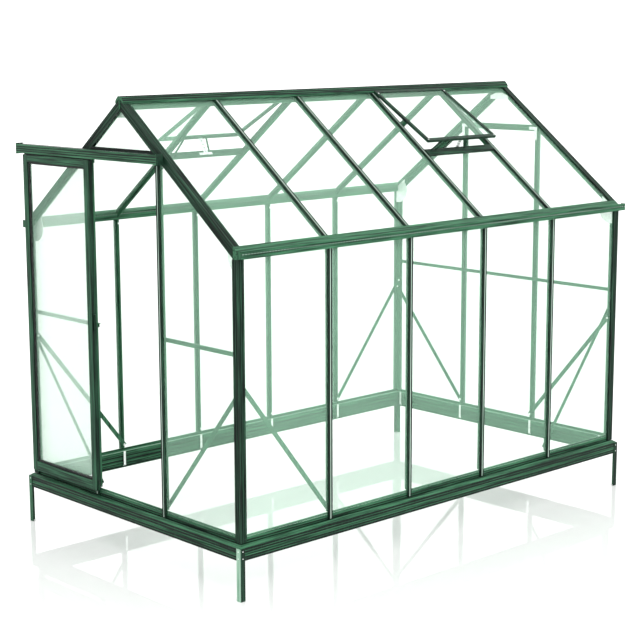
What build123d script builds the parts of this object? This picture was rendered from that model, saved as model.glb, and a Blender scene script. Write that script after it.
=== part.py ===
from build123d import *
import os
from math import cos, radians, sin, tan

# A glazed greenhouse of bolted aluminium bars on a ribbed base ring with four ground stakes.
# Frame: +X to the right of somebody facing the door gable, +Y to the back, +Z up, millimetres.
# z = 0 is under the ground stakes, and the origin is in the middle of everything's footprint.

# Driving dimensions
side_bay = 620.0  # between the bars of a side wall or roof slope
side_bays = 5
gable_bay = 620.0  # between the uprights of a gable, and of the doorway
gable_bays = 3
corner_reach = 24.3  # from the last bay line out to the frame's outer face
eave_height = 1602.0  # roof surface above the base's underside, at the frame's outer face
roof_pitch = 37.8  # degrees
stake_drop = 217.0  # ground stakes below the base ring

# Base ring and sills
base_height = 82.0
base_skirt_out = 22.0  # skirt outside the frame's outer face
base_skirt_height = 68.0
base_wall = 6.0
base_flange = 4.0
base_foot_in = 32.0
rib_count = 5
rib_groove_share = 0.45  # of the step from rib to rib
rib_depth = 3.0
shoulder_out = 2.0  # top edge of the base's slanted shoulder, outside the frame's outer face
sill_height = 28.0  # from the base to the glass's lower edge
sill_lip = 12.0
sill_inner = 40.0
sill_wall = 6.0
stake_leg = 32.0
stake_wall = 3.0
stake_lap = 72.0  # of the stake over the skirt

# Glazing bars: an outer cap, a slot for the glass, an inner flange and a web
glass = 4.0
cap_width = 25.0
cap_depth = 14.0
cap_groove = 7.0
cap_groove_depth = 7.0
flange_width = 22.0
flange_wall = 3.0
web_wall = 6.0
bar_depth = 38.0
glass_gap = 2.0  # from a pane's edge to the web beside it
bar_foot_gap = 4.0

# Corner posts and gable rafters
post_leg = 43.0
rafter_leg = 50.0
slot_depth = 13.0
corner_gap = 6.0  # from a slot's bottom to the pane's edge in it
core_start = 18.0
flute_width = 4.0
flute_depth = 2.5
flutes_per_face = 2

# Eave beam and its gutter
beam_depth = 34.0
beam_drop = 38.0
gutter_out = 31.0
gutter_drop = 34.0
gutter_lip = 8.0
gutter_wall = 4.0
gutter_overhang = 24.0  # past the back gable

# Ridge
ridge_cap_half = 35.0
ridge_cap_top_half = 12.0
ridge_cap_rise = 12.0
ridge_cap_edge = 13.0
ridge_web = 60.0
ridge_flange_half = 14.0
ridge_flange_wall = 4.0
ridge_overhang = 4.0

# Gable cross members
header_lap = 5.1  # of the header's underside above where the jambs meet the rafters
header_height = 40.0
mid_rail_level = 1065.0
mid_rail_height = 22.0
mid_rail_depth = 12.0
rail_wall = 3.0

# Flat braces, on the inner faces of posts and bars
brace_width = 26.0
brace_wall = 3.0
brace_foot_level = 150.0
side_brace_level = 925.0
gable_brace_level = 880.0
brace_lap = 9.0
plate_wall = 3.0
plate_gap = 2.0  # from a plate's edge to the outer leg beside it
eave_plate_reach = 78.0
eave_plate_bend = 86.0
ridge_plate_half = 75.0
ridge_plate_top_half = 25.0

# Roof vents, hung from the ridge
vent_length = 532.0
left_vent_open = 9.0  # degrees
right_vent_open = 5.7
vent_side_gap = 5.0
vent_stile = 20.0
vent_rail = 24.0
vent_wall = 16.0
vent_hinge_gap = 3.0
vent_hinge_rise = 1.0
vent_sill_start = 577.0  # down the slope from the ridge line
vent_sill_width = 46.0
vent_sill_stand = 3.0
vent_sill_lip = 12.0
stay_width = 28.0
stay_wall = 4.0
stay_lap = 1.0  # of a stay's foot into its catch plate
stay_head_gap = 0.6
catch_length = 96.0
catch_low = 28.0  # below the roof surface, on the sill's upper side
catch_high = 12.0
right_vent_bay = 3  # counted from the door gable, starting at 0
left_vent_bay = 1

# Sliding door and its track
door_width = 645.0
door_wall = 30.0
door_back_gap = 8.0  # from the gable's outer face
door_foot_level = 122.0
door_stile = 42.0
door_top_rail = 42.0
door_bottom_rail = 56.0
door_slot = 8.0
door_travel = 580.0
track_drop = 24.0  # of the track's underside below the header's
track_height = 50.0
track_depth = 48.0
track_wall = 4.0
track_grooves = 3
track_groove_height = 5.0
track_groove_depth = 2.0
track_lip = 12.0
track_lip_wall = 4.0
track_end_wall = 3.0
track_end_drop = 6.0
door_top_gap = 8.0
track_right = 366.0
roller_radius = 10.0
roller_width = 8.0
roller_side_gap = 4.0
roller_lift = 0.5
hanger_wall = 4.0
hanger_width = 40.0
hanger_inset = 90.0
axle_radius = 3.0
handle_level = 1095.0
handle_height = 90.0
handle_reach = 14.0
handle_depth = 12.0
handle_round = 4.0

# Derived places. y here is measured from the middle of the glazed frame.
half_width = gable_bays * gable_bay / 2 + corner_reach
half_length = side_bays * side_bay / 2 + corner_reach
base_z = stake_drop
base_top = base_z + base_height
glass_foot = base_top + sill_height
sill_top = glass_foot + sill_lip
slope = tan(radians(roof_pitch))
fall = cos(radians(roof_pitch))
eave_z = base_z + eave_height
apex_z = eave_z + half_width * slope
wall_top = eave_z - beam_drop
bar_foot = base_top + bar_foot_gap
stake_out = base_skirt_out + stake_wall
jamb_x = gable_bay / 2
web_edge = web_wall / 2 + glass_gap
corner_edge = post_leg - slot_depth + corner_gap
glass_in = cap_depth + glass
front_reach = half_length + track_depth
back_reach = half_length + stake_out
mid_y = (front_reach - back_reach) / 2
side_lines = [(i - side_bays / 2) * side_bay for i in range(side_bays + 1)]


def spot(x, y, z):
    """A point from its place beside the middle of the frame."""
    return Vector(x, y + mid_y, z)


def lay(outline, start, end, outward):
    """One straight length of a section, its points (across, out), with out towards outward."""
    along = end - start
    plane = Plane(origin=start, x_dir=Vector(*outward).cross(along), z_dir=along)
    with BuildSketch(plane) as section:
        with BuildLine():
            Polyline(*outline, close=True)
        make_face()
    extrude(section.sketch, amount=along.length)


def plate(points, plane, wall):
    """A flat plate from its corners on a plane, wall thick along the plane's normal."""
    with BuildSketch(plane) as section:
        with BuildLine():
            Polyline(*points, close=True)
        make_face()
    extrude(section.sketch, amount=wall)


def keep_below(origin, normal):
    """Cuts off what lies beyond a plane, on its normal's side."""
    split(bisect_by=Plane(origin=origin, z_dir=normal), keep=Keep.BOTTOM)


def save(part, name):
    """Labels a finished piece and writes it."""
    part.label = name
    export_step(part, f"parts/{name}.step")


def roof_z(x, depth=0.0):
    """Height of the roof surface at x, or of a sheet depth below it, square to the slope."""
    return apex_z - abs(x) * slope - depth / fall


def roof_spot(side, down, out, y):
    """A point on a slope: down from the ridge line, out from the roof surface."""
    x = down * fall + out * slope * fall
    z = apex_z - down * slope * fall + out * fall
    return spot(side * x, y, z)


def roof_out(side):
    """The outward direction of a roof slope."""
    return (side * slope * fall, 0, fall)


header_z = roof_z(jamb_x + cap_width / 2, rafter_leg) + header_lap
track_z = header_z - track_drop
track_mid = -half_length - track_depth / 2
door_left = -door_width / 2 - door_travel
door_right = door_left + door_width
door_mid_y = -half_length - door_back_gap - door_wall / 2
door_foot = base_z + door_foot_level
door_top = track_z - door_top_gap


def bar_outline(cap=cap_width):
    """A glazing bar: grooved cap, glass slot, inner flange and web."""
    half = cap / 2
    groove = cap_groove / 2
    web = web_wall / 2
    lip = half - (cap_width - flange_width) / 2
    flange_back = glass_in + flange_wall
    right = [
        (groove, -cap_groove_depth),
        (groove, 0),
        (half, 0),
        (half, -cap_depth),
        (web, -cap_depth),
        (web, -glass_in),
        (lip, -glass_in),
        (lip, -flange_back),
        (web, -flange_back),
        (web, -bar_depth),
    ]
    return right + [(-a, b) for a, b in reversed(right)]


def cap_outline():
    """Only the cap of a glazing bar, where it laps down over the sill."""
    half = cap_width / 2
    groove = cap_groove / 2
    right = [(groove, -cap_groove_depth), (groove, 0), (half, 0), (half, -cap_depth)]
    return right + [(-a, b) for a, b in reversed(right)]


def fluted_edge(leg):
    """The outer edge of a corner section's leg, from the corner, with its flutes cut in."""
    points = [(0.0, 0.0)]
    step = leg / (flutes_per_face + 1)
    for i in range(flutes_per_face):
        middle = (i + 1) * step
        points += [
            (middle - flute_width / 2, 0.0),
            (middle - flute_width / 2, flute_depth),
            (middle + flute_width / 2, flute_depth),
            (middle + flute_width / 2, 0.0),
        ]
    return points + [(leg, 0.0)]


def corner_legs(leg_a, leg_b):
    """The two outer legs of a corner section, in from the corner along a and b."""
    edge_b = [(a, b) for b, a in fluted_edge(leg_b)]
    inner = [(leg_a, cap_depth), (cap_depth, cap_depth), (cap_depth, leg_b)]
    return fluted_edge(leg_a) + inner + list(reversed(edge_b))[:-1]


def corner_outline(leg_a, leg_b):
    """A corner section: outer legs, glass slots and a square inner core."""
    edge_b = [(a, b) for b, a in fluted_edge(leg_b)]
    inner = [
        (leg_a, cap_depth),
        (leg_a - slot_depth, cap_depth),
        (leg_a - slot_depth, core_start),
        (bar_depth, core_start),
        (bar_depth, bar_depth),
        (core_start, bar_depth),
        (core_start, leg_b - slot_depth),
        (cap_depth, leg_b - slot_depth),
        (cap_depth, leg_b),
    ]
    return fluted_edge(leg_a) + inner + list(reversed(edge_b))[:-1]


def base_outline():
    """The base ring's section as (up, out): ribbed skirt, shoulder and top flange."""
    step = base_skirt_height / rib_count
    skirt = [(0.0, base_skirt_out)]
    for i in range(rib_count):
        groove = step * rib_groove_share
        low = i * step + (step - groove) / 2
        skirt += [
            (low, base_skirt_out),
            (low, base_skirt_out - rib_depth),
            (low + groove, base_skirt_out - rib_depth),
            (low + groove, base_skirt_out),
        ]
    inside = base_skirt_out - base_wall
    top = base_height - base_flange
    return skirt + [
        (base_skirt_height, base_skirt_out),
        (base_height, shoulder_out),
        (base_height, -sill_inner),
        (top, -sill_inner),
        (top, 0.0),
        (base_skirt_height - base_flange, inside),
        (base_flange, inside),
        (base_flange, -base_foot_in),
        (0.0, -base_foot_in),
    ]


def sill_outline():
    """A sill's section as (up, out): outer face, ledge under the glass and inner lip."""
    lip_in = glass_in + base_flange
    top = sill_height + sill_lip
    return [
        (0.0, -cap_depth),
        (sill_height, -cap_depth),
        (sill_height, -glass_in),
        (top, -glass_in),
        (top, -lip_in),
        (sill_height - sill_wall, -lip_in),
        (sill_height - sill_wall, -sill_inner),
        (0.0, -sill_inner),
    ]


def ring_side(outline, side, z):
    """One side of a ring round the frame, mitred at both of its corners."""
    outward = {"right": (1, 0), "back": (0, 1), "left": (-1, 0), "front": (0, -1)}[side]
    along = (-outward[1], outward[0])
    reach = half_width + half_length
    face = spot(outward[0] * half_width, outward[1] * half_length, z)
    lay(
        outline,
        face - Vector(*along, 0) * reach,
        face + Vector(*along, 0) * reach,
        (*outward, 0),
    )
    across = half_length if along[0] == 0 else half_width
    for way in (-1, 1):
        corner = face + Vector(*along, 0) * way * across
        normal = (way * along[0] - outward[0], way * along[1] - outward[1], 0)
        keep_below(corner, normal)


def stand_post(outline, sx, sy, z_low, z_high):
    """An upright corner section, its two legs running back from one corner of the frame."""
    points = [(sx * (half_width - a), sy * (half_length - b) + mid_y) for a, b in outline]
    with BuildSketch(Plane.XY.offset(z_low)) as section:
        with BuildLine():
            Polyline(*points, close=True)
        make_face()
    extrude(section.sketch, amount=z_high - z_low)


def stand_bar(x, y, outward, z_high):
    """An upright glazing bar on a wall's outer face, its cap lapped over the sill."""
    lay(bar_outline(), spot(x, y, sill_top), spot(x, y, z_high), outward)
    lay(cap_outline(), spot(x, y, bar_foot), spot(x, y, sill_top), outward)


def side_panes(side):
    """The panes of a side wall, one a bay, each between its bars' webs."""
    face = side * (half_width - glass_in)
    for i in range(side_bays):
        low = side_lines[i] + web_edge
        high = side_lines[i + 1] - web_edge
        low = max(low, -half_length + corner_edge)
        high = min(high, half_length - corner_edge)
        with BuildSketch(Plane.XY.offset(glass_foot)) as section:
            with Locations((face + side * glass / 2, (low + high) / 2 + mid_y)):
                Rectangle(glass, high - low)
        extrude(section.sketch, amount=wall_top - glass_foot)


def roof_panes(side, vent_bay):
    """The panes of a roof slope, the vent's bay glazed only below its sill."""
    eave_down = (half_width - beam_depth) / fall
    for i in range(side_bays):
        low = max(side_lines[i] + web_edge, -half_length + corner_edge)
        high = min(side_lines[i + 1] - web_edge, half_length - corner_edge)
        top = vent_sill_start + vent_sill_width - slot_depth if i == vent_bay else 0.0
        start = roof_spot(side, top, 0, (low + high) / 2)
        end = roof_spot(side, eave_down + rafter_leg, 0, (low + high) / 2)
        half = (high - low) / 2
        sheet = [(-half, -glass_in), (half, -glass_in), (half, -cap_depth), (-half, -cap_depth)]
        lay(sheet, start, end, roof_out(side))
    keep_below(spot(side * (half_width - beam_depth), 0, eave_z), (side, 0, 0))
    keep_below(spot(side * web_wall / 2, 0, eave_z), (-side, 0, 0))


def gable_plane(sy):
    """The plane of a gable's glass, +X across and +Z up, its normal to -Y."""
    outer = half_length - cap_depth
    y = outer if sy > 0 else -(outer - glass)
    return Plane(origin=spot(0, y, 0), x_dir=(1, 0, 0), z_dir=(0, -1, 0))


def gable_panes(sy, glazed_middle):
    """The panes of a gable: two side bays, the peak and, if glazed, the middle bay."""
    plane = gable_plane(sy)
    slot = rafter_leg - slot_depth + glass_gap
    near = jamb_x + web_edge
    far = half_width - corner_edge
    header_mid = header_z + header_height / 2
    for sx in (-1, 1):
        bay = [
            (sx * near, glass_foot),
            (sx * far, glass_foot),
            (sx * far, roof_z(far, slot)),
            (sx * near, roof_z(near, slot)),
        ]
        plate(bay, plane, glass)
    low = header_mid + web_edge
    high = apex_z - ridge_web - glass_gap
    wide = (apex_z - slot / fall - low) / slope
    narrow = (apex_z - slot / fall - high) / slope
    plate([(-wide, low), (wide, low), (narrow, high), (-narrow, high)], plane, glass)
    if glazed_middle:
        edge = jamb_x - web_edge
        top = header_mid - web_edge
        plate([(-edge, glass_foot), (edge, glass_foot), (edge, top), (-edge, top)], plane, glass)


def gable_rafter(side, sy):
    """One rafter of a gable, from its eave beam to the ridge's web."""
    way = -sy * side
    outline = [(way * a, -b) for b, a in corner_outline(rafter_leg, post_leg)]
    lay_down_slope(outline, side, sy * half_length)


def lay_down_slope(outline, side, y):
    """A length of section on a roof slope, cut off upright at the ridge's web and the eave beam."""
    start = roof_spot(side, -rafter_leg, 0, y)
    end = roof_spot(side, (half_width + rafter_leg) / fall, 0, y)
    lay(outline, start, end, roof_out(side))
    keep_below(spot(side * web_wall / 2, 0, 0), (-side, 0, 0))
    keep_below(spot(side * (half_width - beam_depth), 0, 0), (side, 0, 0))


def brace(start, end, outward):
    """A flat strip between two points on the inner faces, lapping each by a little."""
    half = brace_width / 2
    along = (end - start).normalized() * brace_lap
    strip = [(-half, 0), (half, 0), (half, -brace_wall), (-half, -brace_wall)]
    lay(strip, start - along, end + along, outward)


def vent_point(side, down, out, y):
    """A point on an open vent: down from its hinge, out from its underside."""
    hinge_down = ridge_cap_half / fall + vent_hinge_gap
    tilt = radians(right_vent_open if side > 0 else left_vent_open)
    along = hinge_down + down * cos(tilt) - out * sin(tilt)
    rise = vent_hinge_rise + down * sin(tilt) + out * cos(tilt)
    return roof_spot(side, along, rise, y)


def vent_plane(side, bay, out):
    """The plane of an open vent, x down its slope, y across it, from the middle of its hinge."""
    middle = (side_lines[bay] + side_lines[bay + 1]) / 2
    origin = vent_point(side, 0, out, middle)
    down = vent_point(side, 1, out, middle) - origin
    normal = vent_point(side, 0, out + 1, middle) - origin
    return Plane(origin=origin, x_dir=down, z_dir=normal)


def vent_bars(side, bay):
    """The frame of a vent: two sides, a hinge rail and a deeper lower rail."""
    width = side_bay - 2 * vent_side_gap
    with BuildSketch(vent_plane(side, bay, 0)) as section:
        with Locations((vent_length / 2, 0)):
            Rectangle(vent_length, width)
        with Locations(((vent_stile + vent_length - vent_rail) / 2, 0)):
            opening = vent_length - vent_stile - vent_rail
            Rectangle(opening, width - 2 * vent_stile, mode=Mode.SUBTRACT)
    extrude(section.sketch, amount=vent_wall)


def vent_pane(side, bay):
    """The sheet of glass held inside a vent's frame."""
    width = side_bay - 2 * vent_side_gap - 2 * vent_stile
    with BuildSketch(vent_plane(side, bay, (vent_wall - glass) / 2)) as section:
        with Locations(((vent_stile + vent_length - vent_rail) / 2, 0)):
            Rectangle(vent_length - vent_stile - vent_rail, width)
    extrude(section.sketch, amount=glass)


def vent_sill(side, bay):
    """The cross bar below a vent, between the caps of the two roof bars."""
    low = side_lines[bay] + cap_width / 2
    high = side_lines[bay + 1] - cap_width / 2
    outline = [
        (0.0, vent_sill_stand),
        (vent_sill_width, vent_sill_stand),
        (vent_sill_width, -cap_depth),
        (vent_sill_lip, -cap_depth),
        (vent_sill_lip, -bar_depth),
        (0.0, -bar_depth),
    ]
    start = roof_spot(side, vent_sill_start, 0, low)
    end = roof_spot(side, vent_sill_start, 0, high)
    if side < 0:
        start, end = end, start
    lay([(-a, b) for a, b in outline], start, end, roof_out(side))


def vent_stay(side, bay):
    """A catch plate on the upper side of a vent's sill, and the flat stay from it to the vent."""
    middle = (side_lines[bay] + side_lines[bay + 1]) / 2
    face = vent_sill_start - plate_wall
    half = catch_length / 2
    low = roof_spot(side, face, -catch_low, middle - half)
    high = roof_spot(side, face, -catch_low, middle + half)
    if side < 0:
        low, high = high, low
    tall = catch_low - catch_high
    section = [(0.0, 0.0), (-plate_wall, 0.0), (-plate_wall, tall), (0.0, tall)]
    lay(section, low, high, roof_out(side))
    foot = roof_spot(side, face - stay_wall / 2 + stay_lap, -catch_low, middle)
    head = vent_point(side, vent_length - vent_rail / 2, -stay_head_gap, middle)
    wide = stay_width / 2
    thick = stay_wall / 2
    strip = [(-wide, -thick), (wide, -thick), (wide, thick), (-wide, thick)]
    lay(strip, foot, head, tuple(Vector(0, 1, 0).cross(head - foot)))


def eave_plate(sx, sy):
    """A curved plate in the corner between a post and its rafter, on their inner faces."""
    y = sy * (half_length - bar_depth) - (0 if sy > 0 else -plate_wall)
    outer_x = half_width - core_start - plate_gap
    beam_x = half_width - beam_depth
    inner_x = outer_x - eave_plate_reach
    low_z = wall_top - eave_plate_reach
    deep = core_start + plate_gap
    beam_corner = (sx * beam_x, roof_z(beam_x, deep))
    tip_top = (sx * inner_x, roof_z(inner_x, deep))
    tip_low = (sx * inner_x, roof_z(inner_x, bar_depth))
    foot_in = (sx * (half_width - bar_depth), low_z)
    foot_out = (sx * outer_x, low_z)
    with BuildSketch(Plane(origin=spot(0, y, 0), x_dir=(1, 0, 0), z_dir=(0, -1, 0))) as section:
        with BuildLine():
            Polyline(foot_out, (sx * outer_x, wall_top), (sx * beam_x, wall_top), beam_corner)
            Polyline(beam_corner, tip_top, tip_low)
            RadiusArc(foot_in, tip_low, sx * eave_plate_bend)
            Line(foot_in, foot_out)
        make_face()
    extrude(section.sketch, amount=plate_wall)


def ridge_plate(sy):
    """A flat plate across both rafters under the ridge's flange, on their inner faces."""
    y = sy * (half_length - bar_depth) - (0 if sy > 0 else -plate_wall)
    top = apex_z - ridge_web - ridge_flange_wall
    shoulder = roof_z(ridge_plate_half, core_start + plate_gap)
    foot = roof_z(ridge_plate_half, bar_depth)
    corners = [
        (-ridge_plate_top_half, top),
        (ridge_plate_top_half, top),
        (ridge_plate_half, shoulder),
        (ridge_plate_half, foot),
        (-ridge_plate_half, foot),
        (-ridge_plate_half, shoulder),
    ]
    plate(corners, Plane(origin=spot(0, y, 0), x_dir=(1, 0, 0), z_dir=(0, -1, 0)), plate_wall)


def ground_stake(sx, sy):
    """An angle stake round one corner of the base ring, from under it to over its skirt."""
    x = sx * (half_width + stake_out)
    y = sy * (half_length + stake_out) + mid_y
    corners = [
        (x, y),
        (x - sx * stake_leg, y),
        (x - sx * stake_leg, y - sy * stake_wall),
        (x - sx * stake_wall, y - sy * stake_wall),
        (x - sx * stake_wall, y - sy * stake_leg),
        (x, y - sy * stake_leg),
    ]
    plate(corners, Plane.XY, base_z + min(stake_lap, base_skirt_height))


def eave_beam(side):
    """An eave beam with its gutter, the gutter running on past the back gable."""
    beam = [
        (-beam_drop, -beam_depth),
        (-beam_drop, 0.0),
        (-gutter_drop, 0.0),
        (-gutter_drop, gutter_out),
        (gutter_lip, gutter_out),
        (gutter_lip, gutter_out - gutter_wall),
        (gutter_wall - gutter_drop, gutter_out - gutter_wall),
        (gutter_wall - gutter_drop, 0.0),
        (0.0, 0.0),
        (beam_depth * slope, -beam_depth),
    ]
    tail = [
        (-gutter_drop, -gutter_wall),
        (-gutter_drop, gutter_out),
        (gutter_lip, gutter_out),
        (gutter_lip, gutter_out - gutter_wall),
        (gutter_wall - gutter_drop, gutter_out - gutter_wall),
        (gutter_wall - gutter_drop, 0.0),
        (0.0, 0.0),
        (0.0, -gutter_wall),
    ]
    for outline, low, high in (
        (beam, -half_length, half_length),
        (tail, half_length, half_length + gutter_overhang),
    ):
        first, last = (low, high) if side > 0 else (high, low)
        start = spot(side * half_width, first, eave_z)
        end = spot(side * half_width, last, eave_z)
        lay(outline, start, end, (side, 0, 0))


def uprights(sy):
    """The two glazing bars of a gable, up to the header or the rafters."""
    for sx in (-1, 1):
        stand_bar(sx * jamb_x, sy * half_length, (0, sy, 0), header_z)
    for sx in (-1, 1):
        keep_below(spot(0, 0, roof_z(0, rafter_leg)), roof_out(sx))


def header(sy):
    """The cross bar of a gable, over its uprights and between its rafters."""
    level = header_z + header_height / 2
    start = spot(-half_width, sy * half_length, level)
    end = spot(half_width, sy * half_length, level)
    lay(bar_outline(header_height), start, end, (0, sy, 0))
    for sx in (-1, 1):
        keep_below(spot(0, 0, roof_z(0, rafter_leg)), roof_out(sx))


def mid_rail(sy, low, high):
    """A light angle across a gable, on the inner faces of its uprights."""
    level = base_z + mid_rail_level
    inner = sy * (half_length - bar_depth)
    half = mid_rail_height / 2
    angle = [
        (half, 0.0),
        (half, -mid_rail_depth),
        (half - rail_wall, -mid_rail_depth),
        (half - rail_wall, -rail_wall),
        (-half, -rail_wall),
        (-half, 0.0),
    ]
    first, last = (low, high) if sy < 0 else (high, low)
    lay(angle, spot(first, inner, level), spot(last, inner, level), (0, sy, 0))


def side_brace(side, sy):
    """A brace from the foot of a wall bar up to the corner post next to it."""
    inner = side * (half_width - bar_depth)
    foot = spot(inner, sy * side_lines[-2], base_z + brace_foot_level)
    head = spot(inner, sy * (half_length - bar_depth + brace_wall), base_z + side_brace_level)
    brace(foot, head, (side, 0, 0))


def gable_brace(sx, sy):
    """A brace from the foot of a gable's upright up to the corner post next to it."""
    inner = sy * (half_length - bar_depth)
    foot = spot(sx * jamb_x, inner, base_z + brace_foot_level)
    head = spot(sx * (half_width - bar_depth + brace_wall), inner, base_z + gable_brace_level)
    brace(foot, head, (0, sy, 0))


def ridge_outline():
    """The ridge bar's section as (across, up): a cap over both slopes and a web below it."""
    cap_low = -ridge_cap_half * slope
    half = [
        (ridge_cap_top_half, ridge_cap_rise),
        (ridge_cap_half, cap_low + ridge_cap_edge),
        (ridge_cap_half, cap_low),
        (web_wall / 2, -web_wall / 2 * slope),
        (web_wall / 2, -ridge_web),
    ]
    return half + [(-a, b) for a, b in reversed(half)]


def track_outline():
    """The door track's section as (across, up), open along its underside for the hangers."""
    half = track_depth / 2
    inner = half - track_wall
    slot = inner - track_lip
    step = track_height / (track_grooves + 1)
    grooved = []
    for i in range(track_grooves, 0, -1):
        high = i * step + track_groove_height / 2
        low = high - track_groove_height
        floor = half - track_groove_depth
        grooved += [(half, high), (floor, high), (floor, low), (half, low)]
    right = [(half, track_height)] + grooved
    right += [
        (half, 0.0),
        (slot, 0.0),
        (slot, track_lip_wall),
        (inner, track_lip_wall),
        (inner, track_height - track_wall),
    ]
    return right + [(-a, b) for a, b in reversed(right)]


def door_member(width):
    """A door member's section as (across, out), with the glass slot on its +across side."""
    slot = glass / 2
    half = door_wall / 2
    return [
        (0.0, -half),
        (width, -half),
        (width, -slot),
        (width - door_slot, -slot),
        (width - door_slot, slot),
        (width, slot),
        (width, half),
        (0.0, half),
    ]


def across_disc(x, y, z, radius, length):
    """A round length lying along Y, its middle at a point."""
    with BuildSketch(Plane.XZ.offset(-y - length / 2)) as section:
        with Locations((x, z)):
            Circle(radius)
    extrude(section.sketch, amount=length)


def door_hanger(x):
    """A hanger plate from the door's top into the track, with its axle and two rollers."""
    axle_z = track_z + track_lip_wall + roller_lift + roller_radius
    reach = track_depth / 2 - track_wall - roller_side_gap
    y = track_mid + mid_y
    with BuildSketch(Plane.XY.offset(door_top)) as section:
        with Locations((x, y)):
            Rectangle(hanger_width, hanger_wall)
    extrude(section.sketch, amount=axle_z + roller_radius - door_top)
    across_disc(x, y, axle_z, axle_radius, 2 * reach)
    for way in (-1, 1):
        across_disc(x, y + way * (reach - roller_width / 2), axle_z, roller_radius, roller_width)


os.makedirs("parts", exist_ok=True)

# Base ring, sills and ground stakes
for side_name in ("front", "back", "left", "right"):
    with BuildPart() as base_rail:
        ring_side(base_outline(), side_name, base_z)
    save(base_rail.part, f"base_{side_name}")
    with BuildPart() as sill:
        ring_side(sill_outline(), side_name, base_top)
    save(sill.part, f"sill_{side_name}")

with BuildPart() as ground_stakes:
    for sx in (-1, 1):
        for sy in (-1, 1):
            ground_stake(sx, sy)
save(ground_stakes.part, "ground_stakes")

# Corner posts
with BuildPart() as corner_posts:
    for sx in (-1, 1):
        for sy in (-1, 1):
            stand_post(corner_legs(post_leg, post_leg), sx, sy, bar_foot, sill_top)
            stand_post(corner_outline(post_leg, post_leg), sx, sy, sill_top, wall_top)
save(corner_posts.part, "corner_posts")

# Eave beams with their gutters
for side, side_name in ((-1, "left"), (1, "right")):
    with BuildPart() as eave_gutter:
        eave_beam(side)
    save(eave_gutter.part, f"eave_gutter_{side_name}")

# Ridge
with BuildPart() as ridge_bar:
    ridge_end = half_length + ridge_overhang
    lay(ridge_outline(), spot(0, -ridge_end, apex_z), spot(0, ridge_end, apex_z), (0, 0, 1))
    flange_end = half_length - post_leg
    flange_z = apex_z - ridge_web - ridge_flange_wall
    half = ridge_flange_half
    flange = [(-half, 0), (half, 0), (half, ridge_flange_wall), (-half, ridge_flange_wall)]
    lay(flange, spot(0, -flange_end, flange_z), spot(0, flange_end, flange_z), (0, 0, 1))
save(ridge_bar.part, "ridge_bar")

# Gable rafters
for sy, gable_name in ((-1, "front"), (1, "back")):
    with BuildPart() as left_rafter:
        gable_rafter(-1, sy)
    with BuildPart() as right_rafter:
        gable_rafter(1, sy)
    with BuildPart() as rafters:
        add([left_rafter.part, right_rafter.part])
    save(rafters.part, f"{gable_name}_rafters")

# Glazing bars of the side walls and the roof
with BuildPart() as side_wall_bars:
    for side in (-1, 1):
        for y in side_lines[1:-1]:
            stand_bar(side * half_width, y, (side, 0, 0), wall_top)
save(side_wall_bars.part, "side_wall_bars")

for side, side_name in ((-1, "left"), (1, "right")):
    with BuildPart() as roof_bars:
        for y in side_lines[1:-1]:
            lay_down_slope(bar_outline(), side, y)
    save(roof_bars.part, f"{side_name}_roof_bars")

# Uprights and cross members of the gables
for sy, uprights_name, gable_name in ((-1, "door_jambs", "front"), (1, "back_gable_bars", "back")):
    with BuildPart() as gable_uprights:
        uprights(sy)
    save(gable_uprights.part, uprights_name)
    with BuildPart() as gable_header:
        header(sy)
    save(gable_header.part, f"{gable_name}_header")

rail_end = half_width - bar_depth
with BuildPart() as front_mid_rails:
    mid_rail(-1, -rail_end, -jamb_x + cap_width / 2)
    mid_rail(-1, jamb_x - cap_width / 2, rail_end)
save(front_mid_rails.part, "front_mid_rails")

with BuildPart() as back_mid_rail:
    mid_rail(1, -rail_end, rail_end)
save(back_mid_rail.part, "back_mid_rail")

# Diagonal braces, two to a corner
with BuildPart() as side_wall_braces:
    for side in (-1, 1):
        for sy in (-1, 1):
            side_brace(side, sy)
save(side_wall_braces.part, "side_wall_braces")

with BuildPart() as gable_braces:
    for sx in (-1, 1):
        for sy in (-1, 1):
            gable_brace(sx, sy)
save(gable_braces.part, "gable_braces")

# Bright plates at the eaves and the ridge, on the inner faces of posts and rafters
with BuildPart() as eave_plates:
    for sx in (-1, 1):
        for sy in (-1, 1):
            eave_plate(sx, sy)
save(eave_plates.part, "eave_plates")

with BuildPart() as ridge_plates:
    ridge_plate(-1)
    ridge_plate(1)
save(ridge_plates.part, "ridge_plates")

# Roof vents, their sills and stays
for side, bay, side_name in ((-1, left_vent_bay, "left"), (1, right_vent_bay, "right")):
    with BuildPart() as vent_frame:
        vent_bars(side, bay)
    save(vent_frame.part, f"{side_name}_vent_frame")
    with BuildPart() as vent_glass:
        vent_pane(side, bay)
    save(vent_glass.part, f"{side_name}_vent_glass")

with BuildPart() as vent_sills:
    vent_sill(-1, left_vent_bay)
    vent_sill(1, right_vent_bay)
save(vent_sills.part, "vent_sills")

with BuildPart() as vent_stays:
    vent_stay(-1, left_vent_bay)
    vent_stay(1, right_vent_bay)
save(vent_stays.part, "vent_stays")

# Glass
for side, vent_bay, side_name in ((-1, left_vent_bay, "left"), (1, right_vent_bay, "right")):
    with BuildPart() as wall_glass:
        side_panes(side)
    save(wall_glass.part, f"{side_name}_wall_glass")
    with BuildPart() as roof_glass:
        roof_panes(side, vent_bay)
    save(roof_glass.part, f"{side_name}_roof_glass")

for sy, gable_name in ((-1, "front"), (1, "back")):
    with BuildPart() as gable_glass:
        gable_panes(sy, glazed_middle=sy > 0)
    save(gable_glass.part, f"{gable_name}_gable_glass")

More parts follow.
